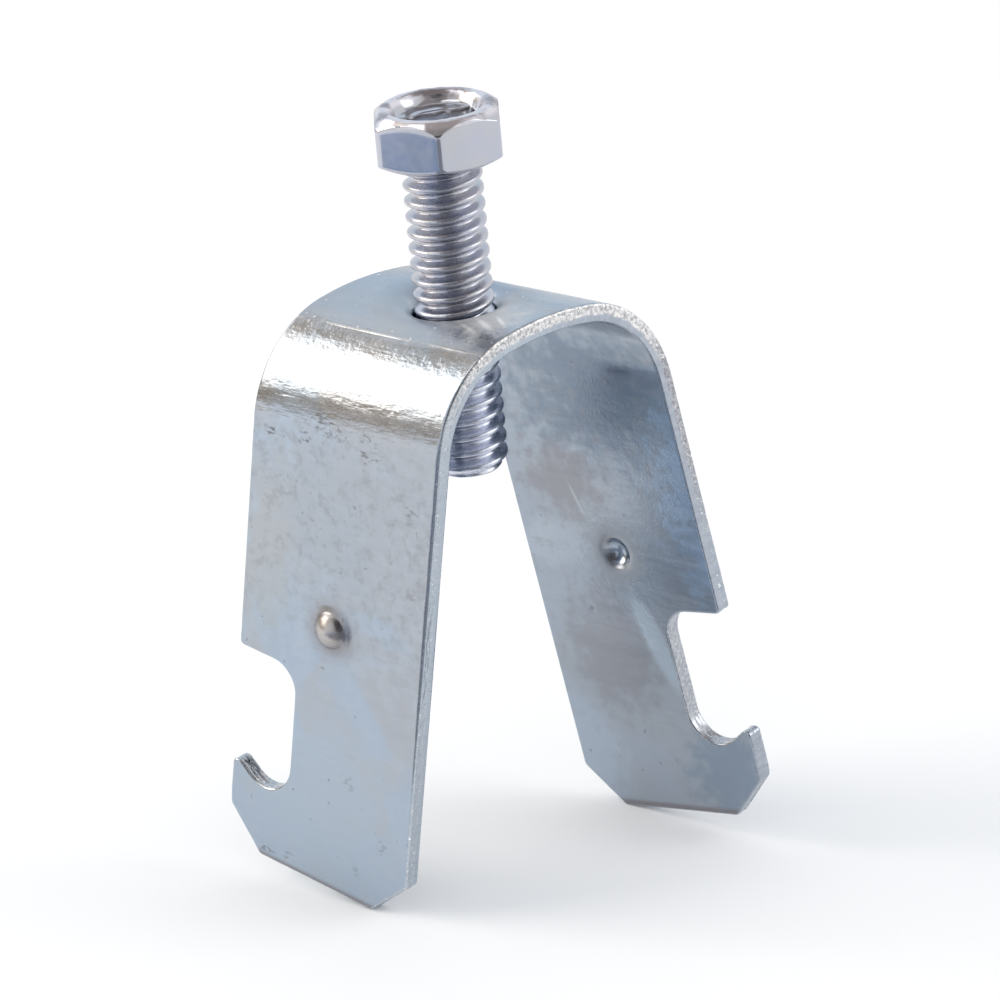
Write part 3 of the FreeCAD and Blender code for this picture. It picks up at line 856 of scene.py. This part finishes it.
# The dull spot in front of the hole, and the rougher ring where the hole was drawn: place and size
DULL_SPOT = ((-1.2, -5.8, OUTER), (4.8, 4.8))
DRAWN_RING = ((0, 0, OUTER), (8.5, 8.5))
# radii of the painted shade round the dimples and of the painted highlight on the domes
DIMPLE_SHADE_RADIUS, DOME_HIGHLIGHT_RADIUS = 3.8, 1.6
# Runs over which a bend's uneven surface begins and ends
BENT_START, BENT_END = (4.5, 6.5), (15.5, 13.5)
# Dark patches on the head's rim: bearing, distance from the axis, size across and along the rim, strength
RIM_MARKS = [
    (152, 4.3, (1, 1), 0.6),
    (120, 4, (0.8, 0.9), 0.7),
    (36, 3.6, (1, 3.2), 0.6),
    (312, 4.3, (1.3, 1.6), 0.7),
    (182, 3.3, (0.8, 0.8), 0.7),
]


def stained_zinc(nodes, place, flat, cloud):
    """Colour of the plating with its clouds, stains and streaks, and painted shade that darkens the inner
    face.
    """
    patches = nodes.ramp(nodes.noise(place, 0.13, 2, 0.5, 0.6), 0.42, 0.6)
    colour = nodes.mix(patches, BLUE_ZINC, GREY_ZINC)
    colour = nodes.mix(nodes.ramp(cloud, 0.35, 0.75, 0, 0.5), colour, PALE_ZINC)
    # painted shade: the inner face, inside the clamp, is made darker
    inside = nodes.ramp(nodes.along(flat, OUTWARDS), 0.3, -0.3, 0, 0.75)
    colour = nodes.mix(inside, colour, SHADED_INNER_ZINC)
    for face, stains in ((INNER, INNER_STAINS), (OUTER, OUTER_STAINS)):
        for centre, size, stain, strength in stains:
            share = nodes.patch(flat, (*centre, face), size, ragged=cloud)
            colour = nodes.tinted(colour, (share, stain, strength))
    for centre, size, softness, streak, strength in STREAKS:
        share = nodes.patch(flat, (*centre, INNER), size, STREAK_TURN, softness=softness)
        colour = nodes.tinted(colour, (share, streak, strength))
    return colour


def handled_zinc(nodes, colour, place, rolled, flat, cloud):
    """The colour with its scuffs, specks and mottling, painted glints near the crown, and painted shade
    along the feet's bottom edges.
    """
    run = nodes.along(flat, ALONG_RUN)
    reach = nodes.math("ABSOLUTE", nodes.along(flat, ALONG_REACH))
    scuffed = nodes.ramp(nodes.noise(rolled, 1.1, 5, 0.7), 0.6, 0.72, 0, 0.3)
    colour = nodes.mix(scuffed, colour, SCUFFED)
    dots = nodes.noise(place, 1.5, 2, 0.4)
    colour = nodes.mix(nodes.ramp(dots, 0.73, 0.77, 0, 0.6), colour, SPECKLED)
    grit = nodes.ramp(nodes.noise(nodes.place(scale=(1, 0.5, 1)), 2.8, 4, 0.65), 0.5, 0.6, 0, 0.8)
    for centre, size, turn, strength in SCUFFS:
        share = nodes.math("MULTIPLY", nodes.patch(flat, (*centre, OUTER), size, turn, cloud), strength)
        colour = nodes.tinted(colour, (share, GRIMY, grit))
    near_crown = nodes.ramp(nodes.math("ABSOLUTE", run), 9, 6)
    # painted highlight: bright glints near the crown
    glint_highlights = nodes.ramp(dots, 0.29, 0.24, 0, 0.9)
    handled = nodes.math("MULTIPLY", nodes.ramp(reach, 12, 16), nodes.ramp(reach, 38, 26))
    mottle = nodes.ramp(nodes.noise(place, 1, 5, 0.65), 0.48, 0.66, 0, 0.5)
    colour = nodes.tinted(colour, (glint_highlights, PAINTED_GLINT, near_crown), (mottle, MOTTLED, handled))
    # painted shade: a dark line along the feet's bottom edges
    foot_edge_shade = nodes.ramp(reach, FOOT_REACH - 0.75, FOOT_REACH - 0.3, 0, 0.8)
    return nodes.mix(foot_edge_shade, colour, FOOT_EDGE_SHADE)


def on_dimples(nodes, flat, face, radius):
    """Share of round patches on the dimples of the outer (1) or inner (-1) face."""
    height = face * (GAUGE + DIMPLE_HEIGHT) / 2
    patches = [nodes.patch(flat, (reach, 0, height), (radius, radius), softness=0.75) for reach in DIMPLES]
    return nodes.math("MAXIMUM", *patches)


def crease_line(nodes, rolled, run):
    """Share of the worn line along the crease above each bend."""
    crease = CROWN_ARC + (CREASE_ANGLE - CROWN_SWEEP) * BEND_MIDDLE
    off = nodes.math("ABSOLUTE", nodes.math("SUBTRACT", run, crease))
    worn = nodes.ramp(nodes.noise(rolled, 0.9, 3), 0.3, 0.5)
    return nodes.math("MULTIPLY", nodes.ramp(off, CREASE_WIDTH, 0.03), worn)


def sheet_relief(nodes, place, flat, rolled, run, line):
    """The sheet's grain, the rolled streaks, which are stronger outside the bends, and the crease."""
    bent = nodes.math("MULTIPLY", nodes.ramp(run, *BENT_START), nodes.ramp(run, *BENT_END))
    bent = nodes.math("MULTIPLY", bent, nodes.ramp(nodes.along(flat, OUTWARDS), 0, 0.5))
    streaks = nodes.math("MULTIPLY_ADD", bent, 0.28, 0.035)
    peel = nodes.math("MULTIPLY_ADD", bent, 0.24, 0.06)
    normal = nodes.bump(nodes.noise(place, 4.5, 3, 0.55), 0.14, 0.04)
    normal = nodes.bump(nodes.noise(rolled, 2.6, 4, 0.6), streaks, 0.1, normal)
    normal = nodes.bump(nodes.noise(place, 1.6, 2, 0.5), peel, 0.1, normal)
    return nodes.bump(line, 0.5, 0.05, normal)


def zinc_sheet():
    """Zinc plated sheet, marked by rolling, folding, pressing and handling, with painted shade and
    highlights.
    """
    nodes = Nodes(bpy.data.materials.new("zinc_sheet"))
    place, flat = nodes.place(), nodes.flat_place()
    rolled = nodes.place(scale=(1, 0.16, 1))
    cloud = nodes.noise(place, 0.7, 4, 0.6)
    run = nodes.math("ABSOLUTE", nodes.along(flat, ALONG_RUN))
    dome_shade_area = on_dimples(nodes, flat, 1, DIMPLE_SHADE_RADIUS)
    bowl_shade_area = on_dimples(nodes, flat, -1, DIMPLE_SHADE_RADIUS)
    dome_highlight_area = on_dimples(nodes, flat, 1, DOME_HIGHLIGHT_RADIUS)
    line = crease_line(nodes, rolled, run)
    dull = nodes.patch(flat, *DULL_SPOT, ragged=cloud, softness=0.9)
    drawn = nodes.patch(flat, *DRAWN_RING, softness=0.5)

    colour = stained_zinc(nodes, place, flat, cloud)
    colour = handled_zinc(nodes, colour, place, rolled, flat, cloud)
    # painted shade round the dimples and a painted highlight on the domes
    colour = nodes.tinted(colour, (dome_shade_area, DOME_SHADE, 0.9), (bowl_shade_area, BOWL_SHADE, 0.6), (dome_highlight_area, DOME_HIGHLIGHT, 0.8))
    colour = nodes.tinted(colour, (line, CREASED, 0.85), (dull, DULLED, 0.75))
    # painted highlights beside the hole
    for centre, size, turn in HOLE_HIGHLIGHTS:
        share = nodes.patch(flat, (*centre, OUTER), size, turn, softness=0.9)
        colour = nodes.tinted(colour, (share, HOLE_HIGHLIGHT, 0.7))

    roughness = nodes.ramp(nodes.noise(rolled, 1.3, 4, 0.6), 0.3, 0.75, 0.17, 0.28)
    for share, amount in ((dome_shade_area, 0.08), (bowl_shade_area, 0.28), (drawn, 0.16)):
        roughness = nodes.math("MULTIPLY_ADD", share, amount, roughness)
    metallic = nodes.math("MULTIPLY_ADD", dull, -0.8, 1)
    return nodes.finish(colour, roughness, sheet_relief(nodes, place, flat, rolled, run, line), metallic)


# Dark and pale grains of the torn and burnished metal, and colours of the rest of the sheared edge, with
# painted light, shade and sparkle
# painted light and shade: the torn grains are lighter on the arch than on the legs
TORN_LIT_ON_ARCH = ((0.41, 0.41, 0.43), (0.82, 0.81, 0.80))
TORN_SHADED_ON_LEG = ((0.27, 0.27, 0.30), (0.46, 0.47, 0.50))
BURNISHED = ((0.34, 0.35, 0.39), (0.56, 0.57, 0.59))
# painted light and shade: the cut face is lighter on the left leg than on the right
CUT_LIT_ON_LEFT = (0.455, 0.515, 0.575)
CUT_SHADED_ON_RIGHT = (0.37, 0.41, 0.47)
CUT_STRIPES = (0.56, 0.60, 0.65)
# painted highlight for the sparkle
PAINTED_SPARKLE = (0.95, 0.95, 0.95)
# Run where the edge is most torn, and distances from it where the tear is faint and full
TORN_RUN = 7
TORN_FADE = (22, 13)


def torn_share(nodes, place, height, run):
    """Share of the granular fracture, in the outer part of the thickness and mostly on the arch."""
    wander = nodes.math("MULTIPLY_ADD", nodes.noise(place, 0.8, 3), 0.5, height)
    away = nodes.math("ABSOLUTE", nodes.math("SUBTRACT", run, TORN_RUN))
    return nodes.math("MULTIPLY", nodes.ramp(wander, 0, 0.2), nodes.ramp(away, *TORN_FADE, 0.08, 1))


def notch_share(nodes, flat):
    """Share of the burnished wall, from the notch's start to the pocket's floor."""
    reach = nodes.math("ABSOLUTE", nodes.along(flat, ALONG_REACH))
    across = nodes.math("ABSOLUTE", nodes.along(flat, ALONG_ACROSS))
    inside = nodes.ramp(reach, NOTCH_REACH, NOTCH_REACH + 2)
    inside = nodes.math("MULTIPLY", inside, nodes.ramp(across, HALF - 0.2, HALF - 1.2))
    return nodes.math("MULTIPLY", inside, nodes.ramp(reach, POCKET_REACH + 2, POCKET_REACH + 1, 0, 0.7))


def sheared_edge():
    """Granular where the metal broke, towards the outer face, and striped where the tool cut it, with
    painted light and shade on its parts and a painted sparkle.
    """
    nodes = Nodes(bpy.data.materials.new("sheared_edge"))
    place, flat = nodes.place(), nodes.flat_place()
    height = nodes.along(flat, OUTWARDS)
    run = nodes.along(flat, ALONG_RUN)
    crumbs = nodes.noise(place, 3.6, 4, 0.65)
    stripes = nodes.noise(nodes.flat_place((2.4, 2.4, 0.3)), 1, 3, 0.6)
    torn = torn_share(nodes, place, height, run)

    grain = nodes.ramp(crumbs, 0.36, 0.58)
    # painted light and shade: lighter grains on the arch, darker on the legs
    lit_on_arch, on_leg = nodes.mix(grain, *TORN_LIT_ON_ARCH), nodes.mix(grain, *TORN_SHADED_ON_LEG)
    granular = nodes.mix(nodes.ramp(run, 9, 14), lit_on_arch, on_leg)
    # painted light and shade: the cut face lighter on the left, darker on the right
    smooth = nodes.mix(nodes.ramp(run, -4, 4), CUT_LIT_ON_LEFT, CUT_SHADED_ON_RIGHT)
    smooth = nodes.mix(nodes.ramp(stripes, 0.3, 0.7, 0, 0.4), smooth, CUT_STRIPES)
    burnished = nodes.mix(nodes.ramp(crumbs, 0.4, 0.6), *BURNISHED)
    smooth = nodes.mix(notch_share(nodes, flat), smooth, burnished)
    colour = nodes.mix(torn, smooth, granular)
    # painted highlight: white sparkle on the outer part of the edge
    sparkle_highlight = nodes.ramp(nodes.noise(place, 4.2, 2, 0.5), 0.63, 0.70)
    sparkle_highlight = nodes.math("MULTIPLY", sparkle_highlight, nodes.ramp(height, -0.3, 0.1))
    colour = nodes.mix(sparkle_highlight, colour, PAINTED_SPARKLE)

    roughness = nodes.ramp(nodes.noise(place, 3, 2), 0.3, 0.7, 0.14, 0.32)
    normal = nodes.bump(stripes, 0.07, 0.14)
    normal = nodes.bump(crumbs, nodes.math("MULTIPLY_ADD", torn, 0.42, 0.03), 0.22, normal)
    return nodes.finish(colour, roughness, normal)


# Colours of the screw and of its marks, with painted light under the crown and a painted highlight on the
# head's rim
SCREW_BLUE = (0.50, 0.515, 0.59)
SCREW_GREY = (0.53, 0.53, 0.565)
# painted light for the screw under the crown, and a painted highlight for the head's rim
UNDER_CROWN_LIGHT = (0.74, 0.77, 0.87)
RIM_HIGHLIGHT = (0.86, 0.83, 0.90)
SMUDGED = (0.43, 0.46, 0.48)
DARK_MARK = (0.15, 0.135, 0.16)


def screw_colour(nodes, place, level):
    """Colour of the screw, with painted light on it under the crown and a painted highlight on the head's
    rim, which has dark patches.
    """
    tint = nodes.ramp(nodes.noise(place, 0.45, 2), 0.35, 0.65)
    colour = nodes.mix(tint, SCREW_BLUE, SCREW_GREY)
    # painted light: the screw made brighter below the crown, inside the clamp
    colour = nodes.mix(nodes.ramp(level, CROWN_TOP + 1, CROWN_TOP - 3, 0, 0.85), colour, UNDER_CROWN_LIGHT)
    smudges = nodes.ramp(nodes.noise(nodes.place(scale=(1, 1, 0.2)), 0.5, 2), 0.4, 0.62, 0, 0.3)
    on_head = nodes.ramp(level, HEAD_FOOT, HEAD_FOOT + 0.5)
    colour = nodes.tinted(colour, (smudges, SMUDGED, on_head))
    # painted highlight: the top of the head's rim made brighter
    colour = nodes.mix(nodes.ramp(level, HEAD_TOP - 0.6, HEAD_TOP - 0.3, 0, 0.55), colour, RIM_HIGHLIGHT)
    ragged = nodes.noise(place, 1.3, 4, 0.6)
    for bearing, distance, size, strength in RIM_MARKS:
        spot = direction(bearing, 0) * distance
        share = nodes.patch(place, (spot.x, spot.y, HEAD_TOP), size, bearing, ragged)
        colour = nodes.tinted(colour, (share, DARK_MARK, strength))
    return colour


def zinc_screw():
    """Bright zinc, smoothest on the head's sides and duller on its rim and thread."""
    nodes = Nodes(bpy.data.materials.new("zinc_screw"))
    place = nodes.place()
    level = nodes.along(place, (0, 0, 1))
    roughness = nodes.ramp(nodes.noise(place, 1.2, 3), 0.3, 0.7, 0.14, 0.18)
    roughness = nodes.math("ADD", roughness, nodes.ramp(level, HEAD_FOOT, HEAD_FOOT - 0.5, 0, 0.1))
    roughness = nodes.math("ADD", roughness, nodes.ramp(level, HEAD_TOP - 0.8, HEAD_TOP - 0.4, 0, 0.07))
    dimpled = nodes.ramp(level, HEAD_FOOT, HEAD_FOOT - 0.5, 0.03, 0.1)
    normal = nodes.bump(nodes.noise(place, 2.2, 2, 0.5), dimpled, 0.05)
    return nodes.finish(screw_colour(nodes, place, level), roughness, normal)


# Studio: the camera's place in millimetres and the rest in metres, with angles in degrees

CAMERA_AZIMUTH = -48.14
CAMERA_ELEVATION = 22.18
CAMERA_ROLL = -5.25
CAMERA_DISTANCE = 403.3
CAMERA_TARGET = Vector((3.17, 0, 21.45))
CAMERA_CLIP = (0.01, 20)
FOCAL_PIXELS = 5135.3
IMAGE_PIXELS = 1000

MIDDLE = Vector((0, 0, 0.02))
FLOOR_WIDTH = 6
CARD_LIFT = 0.0005
WHITE, BLACK = (1, 1, 1), (0, 0, 0)
DIFFUSE_TINT = (0.80, 0.82, 0.85)

# Lamps: azimuth, elevation, distance, width, height, brightness and colour
SOFTBOXES = {
    "key_softbox": (125, 32, 0.6, 0.34, 0.34, 3.7, (1, 0.94, 0.86)),
    "side_softbox": (305, 28, 0.7, 0.35, 0.45, 1.6, (1, 1, 1)),
}
# Cards that face the clamp: azimuth, elevation, distance, width, height and colour
FACING_CARDS = {
    "key_surround": (120, 28, 0.66, 0.70, 0.80, (0.54, 0.44, 0.34)),
    "camera_flag": (224, 20, 0.5, 0.6, 0.7, (0.13, 0.12, 0.125)),
    "bounce_card": (135, 64, 0.6, 0.2, 0.25, (2.4, 2.35, 2.3)),
    "strip_card": (95, 36.5, 0.6, 0.2, 0.2, (2.4, 2.35, 2.3)),
    "ceiling_card": (222, 84, 0.7, 0.72, 0.72, (0.40, 0.36, 0.34)),
    "far_card": (15, 54, 0.75, 0.5, 0.16, (0.30, 0.27, 0.27)),
    "sky_card": (48, 28, 0.9, 1, 0.6, (0.83, 0.91, 0.98)),
}
# Cards that lie on the floor: azimuth, distance, width, height and colour
FLOOR_CARDS = {
    "front_floor_card": (222, 0.19, 0.16, 0.32, (0.32, 0.34, 0.39)),
    "left_floor_card": (178, 0.21, 0.13, 0.20, (0.36, 0.46, 0.65)),
}


def direction(azimuth, elevation):
    """Unit vector towards a bearing: azimuth anticlockwise from +X, in degrees."""
    a, e = math.radians(azimuth), math.radians(elevation)
    return Vector((math.cos(a) * math.cos(e), math.sin(a) * math.cos(e), math.sin(e)))


def add_camera():
    """The photograph's view, fitted to the clamp's edges."""
    back = direction(CAMERA_AZIMUTH - 90, CAMERA_ELEVATION)
    right = direction(CAMERA_AZIMUTH, 0)
    upright = Matrix((right, back.cross(right), back)).transposed()
    turn = upright @ Matrix.Rotation(math.radians(CAMERA_ROLL), 3, "Z")
    spot = (CAMERA_TARGET + back * CAMERA_DISTANCE) * MM
    lens = bpy.data.cameras.new("camera")
    lens.lens = FOCAL_PIXELS / IMAGE_PIXELS * lens.sensor_width
    lens.clip_start, lens.clip_end = CAMERA_CLIP
    placement = Matrix.Translation(spot) @ turn.to_4x4()
    bpy.context.scene.camera = new_object("camera", lens, placement)


def facing(azimuth, elevation, distance):
    """Placement of a flat thing on a bearing from the clamp's middle, facing it."""
    away = direction(azimuth, elevation)
    turn = away.to_track_quat("Z", "Y").to_matrix().to_4x4()
    return Matrix.Translation(MIDDLE + away * distance) @ turn


def on_floor(azimuth, distance):
    """Placement of a flat thing just over the floor, its height pointing away from the clamp."""
    spot = direction(azimuth, 0) * distance
    spot.z = cad_box[0].z + CARD_LIFT
    return Matrix.Translation(spot) @ Matrix.Rotation(math.radians(azimuth - 90), 4, "Z")


def add_softbox(name, placement, width, height, brightness, colour):
    """An area lamp of a given brightness, whatever its size."""
    lamp = bpy.data.lights.new(name, "AREA")
    lamp.shape = "RECTANGLE"
    lamp.size, lamp.size_y = width, height
    lamp.energy = brightness * width * height * math.pi
    lamp.color = colour
    new_object(name, lamp, placement).visible_camera = False


def add_sheet(name, placement, width, height, surface):
    """A flat rectangle on the stage, with values for its shader."""
    x, y = width / 2, height / 2
    nodes = Nodes(bpy.data.materials.new(name))
    nodes.fill(nodes.shader, surface)
    mesh = bpy.data.meshes.new(name)
    mesh.from_pydata([(-x, -y, 0), (x, -y, 0), (x, y, 0), (-x, y, 0)], [], [(0, 1, 2, 3)])
    mesh.materials.append(nodes.owner)
    sheet = new_object(name, mesh, placement)
    return sheet


def add_card(name, placement, width, height, colour):
    """A glowing card that shows only in reflections."""
    surface = {"Base Color": BLACK, "Roughness": 1, "Specular IOR Level": 0}
    glow = {"Emission Color": colour, "Emission Strength": 1}
    card = add_sheet(name, placement, width, height, {**surface, **glow})
    card.visible_camera = card.visible_diffuse = card.visible_shadow = False


def add_floor():
    """A wide white floor under the feet."""
    level = Matrix.Translation((0, 0, cad_box[0].z))
    surface = {"Base Color": WHITE, "Roughness": 0.9, "Specular IOR Level": 0.1}
    add_sheet("floor", level, FLOOR_WIDTH, FLOOR_WIDTH, surface)


def set_world():
    """White surroundings, slightly darker and bluer in the light they give to matt surfaces."""
    nodes = Nodes(bpy.data.worlds.new("studio"), "Background")
    diffuse = nodes.add("LightPath", {}, "Is Diffuse Ray")
    nodes.fill(nodes.shader, {"Color": nodes.mix(diffuse, WHITE, DIFFUSE_TINT)})
    bpy.context.scene.world = nodes.owner


def light_studio():
    """The floor, the surroundings, the lamps and the cards."""
    add_floor()
    set_world()
    for name, (azimuth, elevation, distance, *rest) in SOFTBOXES.items():
        add_softbox(name, facing(azimuth, elevation, distance), *rest)
    for name, (azimuth, elevation, distance, *rest) in FACING_CARDS.items():
        add_card(name, facing(azimuth, elevation, distance), *rest)
    for name, (azimuth, distance, *rest) in FLOOR_CARDS.items():
        add_card(name, on_floor(azimuth, distance), *rest)
    bpy.context.scene.view_settings.view_transform = "Standard"


clamp_strip([zinc_sheet(), sheared_edge()])
clamp_bolt([zinc_screw()])
add_camera()
light_studio()
